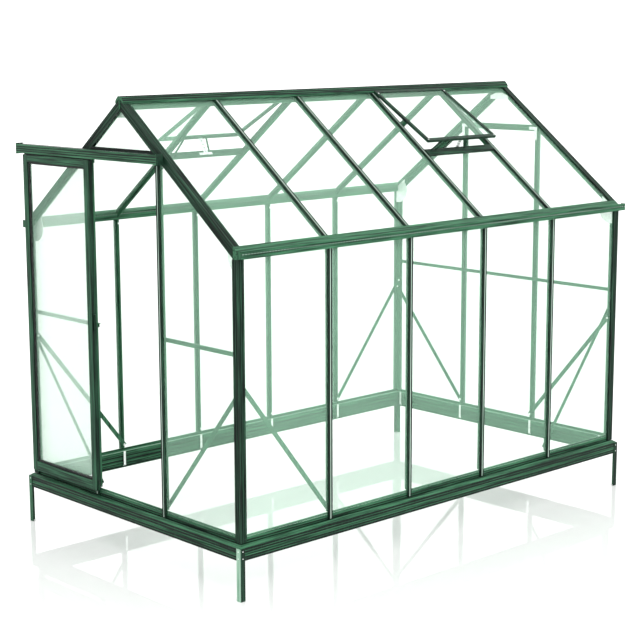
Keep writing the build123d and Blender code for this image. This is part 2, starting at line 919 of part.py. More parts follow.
# Door track along the front gable, closed by a plate at each end
track_left = -half_width
with BuildPart() as door_track:
    start = spot(track_left, track_mid, track_z)
    end = spot(track_right, track_mid, track_z)
    lay(track_outline(), start, end, (0, 0, 1))
    for x in (track_left - track_end_wall, track_right):
        with BuildSketch(Plane.YZ.offset(x)) as section:
            with Locations((track_mid + mid_y, track_z + track_height / 2)):
                Rectangle(track_depth, track_height + 2 * track_end_drop)
        extrude(section.sketch, amount=track_end_wall)
save(door_track.part, "door_track")

# Door, slid open to the left
with BuildPart() as door_stiles:
    for x, way in ((door_left, 1), (door_right, -1)):
        outline = [(way * a, b) for a, b in door_member(door_stile)]
        lay(outline, spot(x, door_mid_y, door_foot), spot(x, door_mid_y, door_top), (0, 1, 0))
save(door_stiles.part, "door_stiles")

with BuildPart() as door_rails:
    for z, way, height in ((door_foot, 1, door_bottom_rail), (door_top, -1, door_top_rail)):
        outline = [(-way * a, b) for a, b in door_member(height)]
        start = spot(door_left + door_stile, door_mid_y, z)
        end = spot(door_right - door_stile, door_mid_y, z)
        lay(outline, start, end, (0, 1, 0))
save(door_rails.part, "door_rails")

with BuildPart() as door_glass:
    edge = door_stile - door_slot + glass_gap
    low = door_foot + door_bottom_rail - door_slot
    high = door_top - door_top_rail + door_slot - glass_gap
    with BuildSketch(Plane.XY.offset(low)) as section:
        with Locations(((door_left + door_right) / 2, door_mid_y + mid_y)):
            Rectangle(door_width - 2 * edge, glass)
    extrude(section.sketch, amount=high - low)
save(door_glass.part, "door_glass")

with BuildPart() as door_rollers:
    door_hanger(door_left + hanger_inset)
    door_hanger(door_right - hanger_inset)
save(door_rollers.part, "door_rollers")

with BuildPart() as door_handle:
    with BuildSketch(Plane.XY.offset(base_z + handle_level - handle_height / 2)) as section:
        with Locations((door_right + handle_reach / 2, door_mid_y + mid_y)):
            Rectangle(handle_reach, handle_depth)
    extrude(section.sketch, amount=handle_height)
    fillet(door_handle.edges().filter_by(Axis.Z).group_by(Axis.X)[-1], handle_round)
save(door_handle.part, "door_handle")
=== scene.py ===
import math
from functools import partial

import bmesh
import bpy
from mathutils import Matrix, Vector


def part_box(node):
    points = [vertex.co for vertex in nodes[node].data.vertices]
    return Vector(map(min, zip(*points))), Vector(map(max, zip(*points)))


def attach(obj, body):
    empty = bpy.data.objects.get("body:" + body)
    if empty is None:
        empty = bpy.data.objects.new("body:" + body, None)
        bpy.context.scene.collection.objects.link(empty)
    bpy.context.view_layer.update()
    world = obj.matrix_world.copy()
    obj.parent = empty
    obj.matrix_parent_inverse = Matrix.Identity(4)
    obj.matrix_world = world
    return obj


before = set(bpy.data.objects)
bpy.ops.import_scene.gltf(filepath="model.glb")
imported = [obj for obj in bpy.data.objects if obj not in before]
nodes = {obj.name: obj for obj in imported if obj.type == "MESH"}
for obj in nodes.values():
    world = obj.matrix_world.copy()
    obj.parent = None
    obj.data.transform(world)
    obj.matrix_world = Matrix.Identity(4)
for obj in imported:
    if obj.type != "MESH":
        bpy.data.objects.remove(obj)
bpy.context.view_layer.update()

# Sizes of the glazed frame, in metres, read from the CAD nodes where they show there
POST_LOW, POST_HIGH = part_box("corner_posts")
BASE_LOW, BASE_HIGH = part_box("base_right")
GUTTER_LOW, GUTTER_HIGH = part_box("eave_gutter_right")
RIDGE_LOW, RIDGE_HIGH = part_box("ridge_bar")
STILE_LOW, STILE_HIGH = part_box("door_stiles")
HEADER_LOW, HEADER_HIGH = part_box("back_header")
SILL_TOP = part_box("sill_right")[1].z
STAKE_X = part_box("ground_stakes")[1].x
HALF_WIDTH = POST_HIGH.x
MID_Y = (POST_LOW.y + POST_HIGH.y) / 2
HALF_LENGTH = (POST_HIGH.y - POST_LOW.y) / 2
BAY = 0.62  # from glazing bar to glazing bar
BAR_DEPTH = 0.038  # from a bar's outer face to its inner face
CAP_DEPTH = 0.014  # of the cap outside the glass
CAP_GROOVE = 0.007  # in the cap's outer face
FLUTE_DEPTH = 0.0025  # in the outer faces of a corner section
BEAM_DROP = 0.038  # of the posts' heads under the eave line
RIDGE_EDGE = 0.035  # from the ridge line to the edge of its cap
TRACK_FACE = 0.048  # of the door track, outside the gable
PITCH = math.radians(37.8)
RISE = math.sin(PITCH)
FALL = math.cos(PITCH)
EAVE_Z = POST_HIGH.z + BEAM_DROP
APEX_Z = EAVE_Z + HALF_WIDTH * math.tan(PITCH)
SIDE_LINES = [MID_Y + (i - 2.5) * BAY for i in range(6)]
JAMB_X = BAY / 2
BASE_Z = BASE_LOW.z
BASE_TOP = BASE_HIGH.z
SKIRT_X = BASE_HIGH.x
SKIRT_Y = HALF_LENGTH + SKIRT_X - HALF_WIDTH
HAIR = 0.001  # how near a face lies to the plane that it is told by


# Materials ---------------------------------------------------------------------------------


def new_material(name):
    """An empty node material, with its tree, its output and a Principled shader."""
    material = bpy.data.materials.new(name)
    material.use_nodes = True
    tree = material.node_tree
    tree.nodes.clear()
    output = tree.nodes.new("ShaderNodeOutputMaterial")
    shader = tree.nodes.new("ShaderNodeBsdfPrincipled")
    tree.links.new(shader.outputs["BSDF"], output.inputs["Surface"])
    return material, tree, shader


def object_noise(tree, scale, stretch=(1.0, 1.0, 1.0), turn=0.0, detail=4.0, rough=0.55):
    """Noise in the row frame, stretched along an axis and turned about +Y."""
    coords = tree.nodes.new("ShaderNodeTexCoord")
    mapping = tree.nodes.new("ShaderNodeMapping")
    mapping.vector_type = "TEXTURE"
    mapping.inputs["Rotation"].default_value = (0.0, turn, 0.0)
    mapping.inputs["Scale"].default_value = stretch
    noise = tree.nodes.new("ShaderNodeTexNoise")
    noise.inputs["Scale"].default_value = scale
    noise.inputs["Detail"].default_value = detail
    noise.inputs["Roughness"].default_value = rough
    tree.links.new(coords.outputs["Object"], mapping.inputs["Vector"])
    tree.links.new(mapping.outputs["Vector"], noise.inputs["Vector"])
    return noise.outputs["Fac"]


def ramp(tree, factor, stops):
    """A colour ramp over a factor, its stops (place, colour)."""
    node = tree.nodes.new("ShaderNodeValToRGB")
    elements = node.color_ramp.elements
    elements[0].position, elements[0].color = stops[0][0], (*stops[0][1], 1.0)
    elements[1].position, elements[1].color = stops[-1][0], (*stops[-1][1], 1.0)
    for place, colour in stops[1:-1]:
        element = elements.new(place)
        element.color = (*colour, 1.0)
    tree.links.new(factor, node.inputs["Fac"])
    return node.outputs["Color"]


def span(tree, factor, low, high):
    """A factor carried from 0..1 to low..high."""
    node = tree.nodes.new("ShaderNodeMapRange")
    node.inputs["To Min"].default_value = low
    node.inputs["To Max"].default_value = high
    tree.links.new(factor, node.inputs["Value"])
    return node.outputs["Result"]


def multiply(tree, first, second, amount):
    """One colour multiplied by another."""
    node = tree.nodes.new("ShaderNodeMix")
    node.data_type = "RGBA"
    node.blend_type = "MULTIPLY"
    node.inputs["Factor"].default_value = amount
    tree.links.new(first, node.inputs["A"])
    tree.links.new(second, node.inputs["B"])
    return node.outputs["Result"]


def bump(tree, shader, layers):
    """Bumps stacked on one another, each (height, depth in metres, strength)."""
    below = None
    for height, depth, strength in layers:
        node = tree.nodes.new("ShaderNodeBump")
        node.inputs["Distance"].default_value = depth
        node.inputs["Strength"].default_value = strength
        tree.links.new(height, node.inputs["Height"])
        if below is not None:
            tree.links.new(below, node.inputs["Normal"])
        below = node.outputs["Normal"]
    tree.links.new(below, shader.inputs["Normal"])


LONG = 45.0  # how far a die line runs, against its width
STREAK_CELLS = 130.0  # of noise to a metre, and so on below
DIE_LINE_CELLS = 520.0
PATCH_CELLS = 7.0
PEEL_CELLS = 1400.0
SHADE_STOPS = (0.37, 0.49, 0.62)  # where a coat's three colours lie in its streaks

# Colours of the coat; black and deep also serve as painted shade, pale and bright as painted
# highlight
SHADES = {
    "green": ((0.005, 0.022, 0.012), (0.024, 0.092, 0.047), (0.048, 0.158, 0.083)),
    "streaked": ((0.002, 0.006, 0.004), (0.014, 0.056, 0.030), (0.036, 0.128, 0.068)),
    "deep": ((0.001, 0.003, 0.002), (0.006, 0.020, 0.012), (0.018, 0.064, 0.035)),
    "black": ((0.001, 0.002, 0.002), (0.003, 0.006, 0.005), (0.008, 0.020, 0.014)),
    "pale": ((0.155, 0.300, 0.212), (0.250, 0.420, 0.310), (0.340, 0.510, 0.400)),
    "bright": ((0.340, 0.500, 0.400), (0.460, 0.620, 0.520), (0.560, 0.700, 0.610)),
}
COATS = {}  # the coats made so far, by shade and direction


def powder_coat(shade, along):
    """Green powder coat on an extrusion: die lines along it, orange peel and dusty patches."""
    if (shade, along) in COATS:
        return COATS[shade, along]
    material, tree, shader = new_material(f"powder_coat_{shade}_{along}")
    turn = {"right_slope": PITCH, "left_slope": -PITCH}.get(along, 0.0)
    axis = "x" if along.endswith("slope") else along
    stretch = tuple(LONG if name == axis else 1.0 for name in "xyz")
    streaks = object_noise(tree, STREAK_CELLS, stretch, turn, detail=3.0, rough=0.65)
    die_lines = object_noise(tree, DIE_LINE_CELLS, stretch, turn, detail=2.0)
    patches = object_noise(tree, PATCH_CELLS, detail=5.0)
    peel = object_noise(tree, PEEL_CELLS, detail=2.0)
    base = ramp(tree, streaks, list(zip(SHADE_STOPS, SHADES[shade])))
    dust = ramp(tree, patches, [(0.30, (0.82, 0.84, 0.83)), (0.70, (1.0, 1.0, 1.0))])
    tree.links.new(multiply(tree, base, dust, 1.0), shader.inputs["Base Color"])
    tree.links.new(span(tree, patches, 0.38, 0.52), shader.inputs["Roughness"])
    shader.inputs["Specular IOR Level"].default_value = 0.12
    bump(tree, shader, [(die_lines, 0.0002, 0.5), (peel, 0.00008, 0.3)])
    COATS[shade, along] = material
    return material


def bright_metal(name):
    """Plated aluminium plates and fasteners: fine rolling lines and a little tarnish."""
    material, tree, shader = new_material(name)
    rolling = object_noise(tree, 600.0, (1.0, 1.0, 30.0), detail=3.0)
    tarnish = object_noise(tree, 28.0, detail=5.0)
    colour = ramp(tree, tarnish, [(0.30, (0.70, 0.75, 0.72)), (0.70, (0.90, 0.93, 0.91))])
    tree.links.new(colour, shader.inputs["Base Color"])
    tree.links.new(span(tree, rolling, 0.24, 0.42), shader.inputs["Roughness"])
    shader.inputs["Metallic"].default_value = 0.35
    bump(tree, shader, [(rolling, 0.0001, 0.4)])
    return material


def black_plastic(name):
    """Moulded black nylon and rubber: fine grain and rubbed patches."""
    material, tree, shader = new_material(name)
    grain = object_noise(tree, 900.0, detail=2.0)
    rubbed = object_noise(tree, 40.0, detail=4.0)
    colour = ramp(tree, rubbed, [(0.35, (0.012, 0.013, 0.013)), (0.70, (0.035, 0.037, 0.036))])
    tree.links.new(colour, shader.inputs["Base Color"])
    tree.links.new(span(tree, rubbed, 0.35, 0.55), shader.inputs["Roughness"])
    shader.inputs["Specular IOR Level"].default_value = 0.1
    bump(tree, shader, [(grain, 0.0001, 0.4)])
    return material


def pane_glass(name, veil, tints):
    """Horticultural glass: a pale green veil, with faint drift in its tint and its surface."""
    material, tree, shader = new_material(name)
    drift = object_noise(tree, 1.6, detail=2.0)
    rolled = object_noise(tree, 3.0, detail=1.0)
    tint = ramp(tree, drift, [(0.30, tints[0]), (0.70, tints[1])])
    tree.links.new(tint, shader.inputs["Base Color"])
    face = 1.0 - math.sqrt(1.0 - veil)  # a pane is seen through both of its faces
    swing = 0.004
    tree.links.new(span(tree, drift, face - swing, face + swing), shader.inputs["Alpha"])
    tree.links.new(span(tree, drift, 0.04, 0.07), shader.inputs["Roughness"])
    shader.inputs["Specular IOR Level"].default_value = 0.4
    bump(tree, shader, [(rolled, 0.0005, 0.1)])
    return material


BRIGHT = bright_metal("plated_metal")
BLACK = black_plastic("black_nylon")
CLEAR_VEIL = 0.22
MILKY_VEIL = 0.40
GLASS = pane_glass("horticultural_glass", CLEAR_VEIL, ((0.47, 0.80, 0.59), (0.52, 0.85, 0.64)))
MILKY_GLASS = pane_glass("milky_glass", MILKY_VEIL, ((0.84, 0.94, 0.88), (0.88, 0.97, 0.91)))


# Finishes of the CAD nodes, face by face, with painted light and shade -------------------------


def wear(obj, materials):
    """Puts materials on an object's slots, in order."""
    obj.data.materials.clear()
    for material in materials:
        obj.data.materials.append(material)


def paint(name, along, rule):
    """Gives each face of a node the shade that its place and its direction call for."""
    obj = nodes[name]
    shades = {}
    for polygon in obj.data.polygons:
        line = along(polygon.center) if callable(along) else along
        shades.setdefault((rule(polygon.center, polygon.normal), line), []).append(polygon.index)
    wear(obj, [powder_coat(*key) for key in shades])
    for index, faces in enumerate(shades.values()):
        for face in faces:
            obj.data.polygons[face].material_index = index


SQUARE_ON = 0.9  # how much of a normal lies along an axis that its face looks along


def wall_depth(point):
    """How far a point lies inside the outer face of the side walls."""
    return HALF_WIDTH - abs(point.x)


def gable_depth(point):
    """How far a point lies inside the outer face of the gables."""
    return HALF_LENGTH - abs(point.y - MID_Y)


def roof_depth(point):
    """How far a point lies below the roof's surface, square to the slope."""
    return (APEX_Z - abs(point.x) * math.tan(PITCH) - point.z) * FALL


def slope_of(point):
    """The slope that a point belongs to."""
    return "right_slope" if point.x > 0 else "left_slope"


def side_out(point):
    """Outwards from the side wall that a point is nearest to."""
    return Vector((math.copysign(1.0, point.x), 0.0, 0.0))


def gable_out(point):
    """Outwards from the gable that a point is nearest to."""
    return Vector((0.0, math.copysign(1.0, point.y - MID_Y), 0.0))


def roof_out(point):
    """Outwards from the slope that a point belongs to."""
    return Vector((math.copysign(RISE, point.x), 0.0, FALL))


def bar_rule(depth_of, out_of):
    """A glazing bar: near-black cap, a pale painted highlight along its groove, green flanges
    inside.
    """

    def rule(centre, normal):
        depth = depth_of(centre)
        if depth < HAIR:
            return "black"
        # The floor of the cap's groove gets a pale painted highlight
        if depth < CAP_GROOVE + HAIR and normal.dot(out_of(centre)) > SQUARE_ON:
            return "pale"
        return "deep" if depth < CAP_DEPTH + HAIR else "green"

    return rule


def corner_rule(depths):
    """A fluted corner section: streaked outer faces, flutes darkened to near-black as painted
    shade, green inside.
    """

    def rule(centre, normal):
        depth = min(depth_of(centre) for depth_of in depths)
        if depth < HAIR:
            return "deep"
        # The flutes get near-black painted shade
        if depth < FLUTE_DEPTH + HAIR:
            return "black"
        return "deep" if depth < CAP_DEPTH + HAIR else "green"

    return rule


GROOVE_STEP = 0.068 / 5  # five grooves up the height of the base ring's skirt
# The grooves and the ribs that get painted shade
SHADED_GROOVES = (0, 1, 3, 4)  # counted from the foot
SHADED_RIBS = (0, 5)
SHOULDER_TILT = 0.3  # of a normal upwards, on the sloping shoulder over the skirt


def base_rule(centre, normal):
    """The base ring: green ribs, grooves but one in near-black painted shade, some ribs dimmed by
    painted shade.
    """
    out = max(abs(centre.x) - HALF_WIDTH, abs(centre.y - MID_Y) - HALF_LENGTH)
    skirt = SKIRT_X - HALF_WIDTH
    up = centre.z - BASE_Z
    # Level faces get near-black painted shade
    if abs(normal.z) > SQUARE_ON:
        return "black"
    if out < skirt / 2 or normal.z > SHOULDER_TILT:
        return "green"
    if out < skirt - HAIR:
        return "black" if int(up / GROOVE_STEP) in SHADED_GROOVES else "green"
    return "deep" if round(up / GROOVE_STEP) in SHADED_RIBS else "green"


def sill_rule(centre, normal):
    """A sill: green outside and inside, a pale painted highlight on what faces up to the glass.
    """
    return "pale" if normal.z > SQUARE_ON else "green"


def beam_rule(centre, normal):
    """An eave beam: green faces over an underside in near-black painted shade."""
    return "black" if normal.z < -SQUARE_ON else "green"


def ridge_rule(centre, normal):
    """The ridge: a near-black cap over green edges and a green web."""
    upright, upwards = 0.95, 0.1
    if abs(normal.x) > upright:
        return "green"
    return "black" if normal.z > upwards else "green"


def track_rule(centre, normal):
    """The door track: green ribs between grooves in near-black painted shade, a dark top."""
    out = MID_Y - HALF_LENGTH - centre.y
    if abs(normal.y) > SQUARE_ON:
        return "green" if out > TRACK_FACE - HAIR else "black"
    return "deep"


def door_rule(centre, normal):
    """A door member: green on its two faces, its edges darkened with painted shade."""
    return "streaked" if abs(normal.y) > SQUARE_ON else "deep"


def stake_rule(centre, normal):
    """A ground stake: one flange darker as painted shade, the other on the nearest stake a pale
    painted highlight.
    """
    if abs(normal.y) < SQUARE_ON:
        return "deep"
    # The nearest stake's gable-facing flange gets a pale painted highlight
    return "pale" if centre.x > 0 and centre.y < MID_Y else "green"


def plain(shade):
    """A rule that gives every face one shade."""
    return lambda centre, normal: shade


for place in ("left", "right"):
    paint(f"base_{place}", "y", base_rule)
    paint(f"sill_{place}", "y", sill_rule)
    paint(f"eave_gutter_{place}", "y", beam_rule)
    paint(f"{place}_roof_bars", slope_of, bar_rule(roof_depth, roof_out))
    paint(f"{place}_vent_frame", slope_of, plain("deep"))
for place in ("front", "back"):
    paint(f"base_{place}", "x", base_rule)
    paint(f"sill_{place}", "x", sill_rule)
    paint(f"{place}_header", "x", bar_rule(gable_depth, gable_out))
    paint(f"{place}_rafters", slope_of, corner_rule((roof_depth, gable_depth)))
paint("corner_posts", "z", corner_rule((wall_depth, gable_depth)))
paint("side_wall_bars", "z", bar_rule(wall_depth, side_out))
paint("door_jambs", "z", bar_rule(gable_depth, gable_out))
paint("back_gable_bars", "z", bar_rule(gable_depth, gable_out))
paint("ridge_bar", "y", ridge_rule)
paint("vent_sills", "y", plain("deep"))
paint("door_track", "x", track_rule)
paint("door_stiles", "z", door_rule)
paint("door_rails", "x", door_rule)
paint("door_handle", "z", plain("deep"))
paint("ground_stakes", "z", stake_rule)
paint("front_mid_rails", "x", plain("green"))
paint("back_mid_rail", "x", plain("green"))
paint("side_wall_braces", "z", plain("green"))
paint("gable_braces", "z", plain("green"))
wear(nodes["door_rollers"], [BLACK])
for name, obj in nodes.items():
    if name.endswith("_glass"):
        wear(obj, [GLASS])
# The fixed panes that the open door stands in front of show paler in the photograph
wear(nodes["front_gable_glass"], [GLASS, MILKY_GLASS])
for polygon in nodes["front_gable_glass"].data.polygons:
    polygon.material_index = 1 if polygon.center.x < -JAMB_X else 0
for name in ("eave_plates", "ridge_plates", "vent_stays"):
    wear(nodes[name], [BRIGHT])


# Pieces added to the frame ------------------------------------------------------------------


def piece(name, mesh, body, material, slot):
    """A finished mesh as a piece of the object, riding on a body."""
    obj = bpy.data.objects.new(name, mesh)
    bpy.context.scene.collection.objects.link(obj)
    mesh.materials.append(material)
    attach(obj, body)
    return obj


def facing(outward, along=(0.0, 0.0, 1.0)):
    """A turn whose Z points outward and whose Y keeps as near as it can to along."""
    z = Vector(outward).normalized()
    x = Vector(along).cross(z).normalized()
    y = z.cross(x)
    return Matrix((x, y, z)).transposed().to_4x4()


def add_hex(bm, place, across, height):
    """A hexagon head with a chamfered top, standing on its own XY plane."""
    sides = 6
    radius = across / math.sqrt(3)
    chamfer_foot, top_share = 0.75, 0.84
    rings = ((0.0, radius), (height * chamfer_foot, radius), (height, radius * top_share))
    loops = []
    for z, r in rings:
        loop = []
        for k in range(sides):
            a = 2 * math.pi * k / sides
            loop.append(bm.verts.new(place @ Vector((r * math.cos(a), r * math.sin(a), z))))
        loops.append(loop)
    for low, high in zip(loops, loops[1:]):
        for k in range(sides):
            n = (k + 1) % sides
            bm.faces.new((low[k], low[n], high[n], high[k]))
    bm.faces.new(loops[-1])
    bm.faces.new(list(reversed(loops[0])))


def add_round(bm, place, radius, low, high, dome=0.0, sides=16):
    """A round disc or stud from low to high, its top domed by a little."""
    rings = [(low, radius), (high - dome, radius)]
    if dome > 0:
        rings += [(high - dome * 0.3, radius * 0.72), (high, radius * 0.3)]
    loops = []
    for z, r in rings:
        loop = []
        for k in range(sides):
            a = 2 * math.pi * k / sides
            loop.append(bm.verts.new(place @ Vector((r * math.cos(a), r * math.sin(a), z))))
        loops.append(loop)
    for lower, upper in zip(loops, loops[1:]):
        for k in range(sides):
            n = (k + 1) % sides
            bm.faces.new((lower[k], lower[n], upper[n], upper[k]))
    bm.faces.new(loops[-1])
    bm.faces.new(list(reversed(loops[0])))


def add_block(bm, place, low, high):
    """A block between two corners, in a place's own axes."""
    corners = []
    for z in (low[2], high[2]):
        for x, y in ((low[0], low[1]), (high[0], low[1]), (high[0], high[1]), (low[0], high[1])):
            corners.append(bm.verts.new(place @ Vector((x, y, z))))
    for k in range(4):
        n = (k + 1) % 4
        bm.faces.new((corners[k], corners[n], corners[n + 4], corners[k + 4]))
    bm.faces.new(corners[4:])
    bm.faces.new(list(reversed(corners[:4])))


def add_length(bm, outline, start, end, outward):
    """A straight length of a section, its points (across, out), closed at both ends."""
    along = (end - start).normalized()
    across = Vector(outward).cross(along).normalized()
    out = along.cross(across)
    rings = []
    for point in (start, end):
        rings.append([bm.verts.new(point + across * a + out * b) for a, b in outline])
    count = len(outline)
    for k in range(count):
        n = (k + 1) % count
        bm.faces.new((rings[0][k], rings[0][n], rings[1][n], rings[1][k]))
    bm.faces.new(list(reversed(rings[0])))
    bm.faces.new(rings[1])


EDGE_BREAK = 0.3  # of a flat strip's wall


def flat(half, wall):
    """The section of a flat strip that lies on a face, its edges broken a little."""
    bevel = wall * EDGE_BREAK
    right = [(half, 0.0), (half, wall - bevel), (half - bevel, wall)]
    return right + [(-a, b) for a, b in reversed(right)]


def mesh_of(name, build):
    """A mesh from a function that fills a bmesh."""
    bm = bmesh.new()
    build(bm)
    bmesh.ops.recalc_face_normals(bm, faces=bm.faces)
    mesh = bpy.data.meshes.new(name)
    bm.to_mesh(mesh)
    bm.free()
    return mesh


BOLT_ACROSS = 0.010
BOLT_HEIGHT = 0.0042
WASHER_RADIUS = 0.0068
WASHER_WALL = 0.0012
STUD_RADIUS = 0.003
STUD_STANDS = 0.002
STUD_DOME = 0.0006


def nut(bm, point, outward, spin=0.0, scale=1.0):
    """A nut on its washer with the bolt's end standing out of it."""
    turned = facing(outward, (0.0, 0.3, 1.0)) @ Matrix.Rotation(spin, 4, "Z")
    place = Matrix.Translation(point) @ turned @ Matrix.Diagonal((scale, scale, scale, 1.0))
    add_round(bm, place, WASHER_RADIUS, 0.0, WASHER_WALL)
    top = WASHER_WALL + BOLT_HEIGHT
    lifted = place @ Matrix.Translation((0.0, 0.0, WASHER_WALL))
    add_hex(bm, lifted, BOLT_ACROSS, BOLT_HEIGHT)
    add_round(bm, place, STUD_RADIUS, top, top + STUD_STANDS, STUD_DOME, 12)


def spot(x, y, z):
    """A point of the frame, y from the middle of the glazed frame."""
    return Vector((x, y + MID_Y, z))


NUT_IN = 0.022  # from a bar's end to its nut


def wall_nuts(bm):
    """Nuts inside each wall bar, at its foot and its head, and at the feet of the gable bars."""
    inner_x = HALF_WIDTH - BAR_DEPTH
    inner_y = HALF_LENGTH - BAR_DEPTH
    foot = SILL_TOP + NUT_IN
    head = POST_HIGH.z - NUT_IN
    bar_turn, gable_turn = 0.4, 0.6  # so that neighbouring nuts don't stand alike
    for side in (-1, 1):
        for k, y in enumerate(SIDE_LINES[1:-1]):
            for z in (foot, head):
                nut(bm, Vector((side * inner_x, y, z)), (-side, 0, 0), k * bar_turn)
    for sy in (-1, 1):
        for side in (-1, 1):
            nut(bm, spot(side * JAMB_X, sy * inner_y, foot), (0, -sy, 0), side * gable_turn)


BRACE_WALL = 0.003
BRACE_FOOT = 0.150
SIDE_BRACE_HEAD = 0.925
GABLE_BRACE_HEAD = 0.880


def brace_nuts(bm):
    """Nuts through both ends of each diagonal brace."""
    inner_x = HALF_WIDTH - BAR_DEPTH - BRACE_WALL
    inner_y = HALF_LENGTH - BAR_DEPTH - BRACE_WALL
    last_bar = 1.5 * BAY  # from the middle of a side wall
    foot = BASE_Z + BRACE_FOOT
    side_head, gable_head = BASE_Z + SIDE_BRACE_HEAD, BASE_Z + GABLE_BRACE_HEAD
    inset = 0.006  # of a head's nut, towards its corner
    for side in (-1, 1):
        for sy in (-1, 1):
            inwards = (-side, 0, 0)
            nut(bm, spot(side * inner_x, sy * last_bar, foot), inwards)
            nut(bm, spot(side * inner_x, sy * (inner_y + inset), side_head), inwards)
            inwards = (0, -sy, 0)
            nut(bm, spot(side * JAMB_X, sy * inner_y, foot), inwards)
            nut(bm, spot(side * (inner_x + inset), sy * inner_y, gable_head), inwards)


STAKE_BOLT_LEVELS = (0.014, 0.052)  # over the base ring's foot
STAKE_BOLT_SCALE = 0.45


def stake_bolts(bm):
    """Two small bolts through each flange of each ground stake, over the base ring's skirt."""
    side_bolt_y = HALF_LENGTH + 0.008
    end_bolt_x = SKIRT_X - 0.014
    end_face_y = HALF_LENGTH + 0.025
    for sx in (-1, 1):
        for sy in (-1, 1):
            for level in STAKE_BOLT_LEVELS:
                z = BASE_Z + level
                point = spot(sx * STAKE_X, sy * side_bolt_y, z)
                nut(bm, point, (sx, 0, 0), 0.0, STAKE_BOLT_SCALE)
                point = spot(sx * end_bolt_x, sy * end_face_y, z)
                nut(bm, point, (0, sy, 0), 0.0, STAKE_BOLT_SCALE)


STRAP_HALF = 0.008
STRAP_WALL = 0.002
STRAP_FOOT = 0.012  # over the base ring's foot
STRAP_HEAD = 0.016  # under the sill's top
STRAP_NUT_SCALE = 0.8
STRAP_NUT_TURN = 9.0  # for each metre up, so that the nuts don't stand alike
SILL_INNER = 0.040  # from the frame's outer face to the sill's inner face


def strap_places():
    """The foot of each strap and its inward direction: under the bars, and by each corner."""
    x_face = HALF_WIDTH - SILL_INNER
    y_face = HALF_LENGTH - SILL_INNER
    corner_x = x_face - 0.03
    places = []
    for side in (-1, 1):
        places += [(Vector((side * x_face, y, 0.0)), (-side, 0, 0)) for y in SIDE_LINES[1:-1]]
    for x in (JAMB_X, corner_x):
        for side in (-1, 1):
            places += [(spot(side * x, sy * y_face, 0.0), (0, -sy, 0)) for sy in (-1, 1)]
    return places


def base_straps(bm):
    """Bright straps inside the base ring, each bolted to it and to the sill, with a lug."""
    low = BASE_Z + STRAP_FOOT
    high = SILL_TOP - STRAP_HEAD
    nut_levels = (high - 0.010, BASE_TOP - 0.020, low + 0.010)
    lug_wall, lug_reach = 0.004, 0.008
    for foot, inwards in strap_places():
        out = Vector(inwards)
        start = foot + Vector((0.0, 0.0, low))
        end = foot + Vector((0.0, 0.0, high))
        add_length(bm, flat(STRAP_HALF, STRAP_WALL), start, end, inwards)
        for z in nut_levels:
            point = foot + out * STRAP_WALL + Vector((0.0, 0.0, z))
            nut(bm, point, inwards, z * STRAP_NUT_TURN, STRAP_NUT_SCALE)
        lug = flat(STRAP_HALF, lug_wall)
        add_length(bm, lug, start + out * STRAP_WALL, start - out * lug_reach, (0, 0, 1))


BRACKET_HALF = 0.010
BRACKET_WALL = 0.0025
BRACKET_LAP = 0.012  # past the bar, away from the gable's middle
BRACKET_ARM = 0.052  # past the bar, towards the middle
BRACKET_DROP = 0.075  # of its leg, under the header's middle line
BRACKET_BOLTS = ((0.0, -0.062), (0.0, -0.034), (-0.040, 0.0), (-0.014, 0.0))  # (across, up)
BRACKET_BOLT_TURN = 20.0  # for each metre up


def header_brackets(bm):
    """T-shaped plates where the gable bars meet the headers, with their bolts."""
    middle = (HEADER_LOW.z + HEADER_HIGH.z) / 2
    y_face = HALF_LENGTH - BAR_DEPTH
    section = flat(BRACKET_HALF, BRACKET_WALL)
    for sy in (-1, 1):
        inwards = (0, -sy, 0)
        for side in (-1, 1):
            x = side * JAMB_X
            start = spot(x + side * BRACKET_LAP, sy * y_face, middle)
            end = spot(x - side * BRACKET_ARM, sy * y_face, middle)
            add_length(bm, section, start, end, inwards)
            foot = spot(x, sy * y_face, middle - BRACKET_DROP)
            top = spot(x, sy * y_face, middle - BRACKET_HALF)
            add_length(bm, section, foot, top, inwards)
            face = sy * (y_face - BRACKET_WALL)
            for across, up in BRACKET_BOLTS:
                point = spot(x + side * across, face, middle + up)
                nut(bm, point, inwards, up * BRACKET_BOLT_TURN)


BAND_HALF = 0.0045
BAND_WALL = 0.001
GUTTER_BAND_DROP = 0.009  # under the eave line
BEAM_BAND_DROP = 0.004
BEAM_INNER = 0.034  # from the frame's outer face to the eave beam's inner face
STUD_STEP = 0.020
STUD_HALF_LENGTH = 0.0055
STUD_HALF_HEIGHT = 0.0018
STUD_RISE = 0.001


def eave_faces():
    """The gutters' outer faces and the eave beams' inner ones: x, way out, level and back end."""
    back = HALF_LENGTH + MID_Y
    for side in (-1, 1):
        yield side * GUTTER_HIGH.x, side, EAVE_Z - GUTTER_BAND_DROP, GUTTER_HIGH.y
        yield side * (HALF_WIDTH - BEAM_INNER), -side, EAVE_Z - BEAM_BAND_DROP, back


def eave_bands(bm):
    """A dark band along the middle of each face of the eaves."""
    for x, outward, level, back in eave_faces():
        start = Vector((x, GUTTER_LOW.y + HAIR, level))
        end = Vector((x, back - HAIR, level))
        add_length(bm, flat(BAND_HALF, BAND_WALL), start, end, (outward, 0, 0))


def eave_studs(bm):
    """The row of small pressed studs on each dark band of the eaves."""
    low = (-STUD_HALF_LENGTH, -STUD_HALF_HEIGHT, BAND_WALL)
    high = (STUD_HALF_LENGTH, STUD_HALF_HEIGHT, BAND_WALL + STUD_RISE)
    for x, outward, level, back in eave_faces():
        reach = back - GUTTER_LOW.y
        count = int(reach / STUD_STEP)
        for k in range(count):
            y = GUTTER_LOW.y + (k + 0.5) * reach / count
            place = Matrix.Translation((x, y, level)) @ facing((outward, 0, 0))
            add_block(bm, place, low, high)


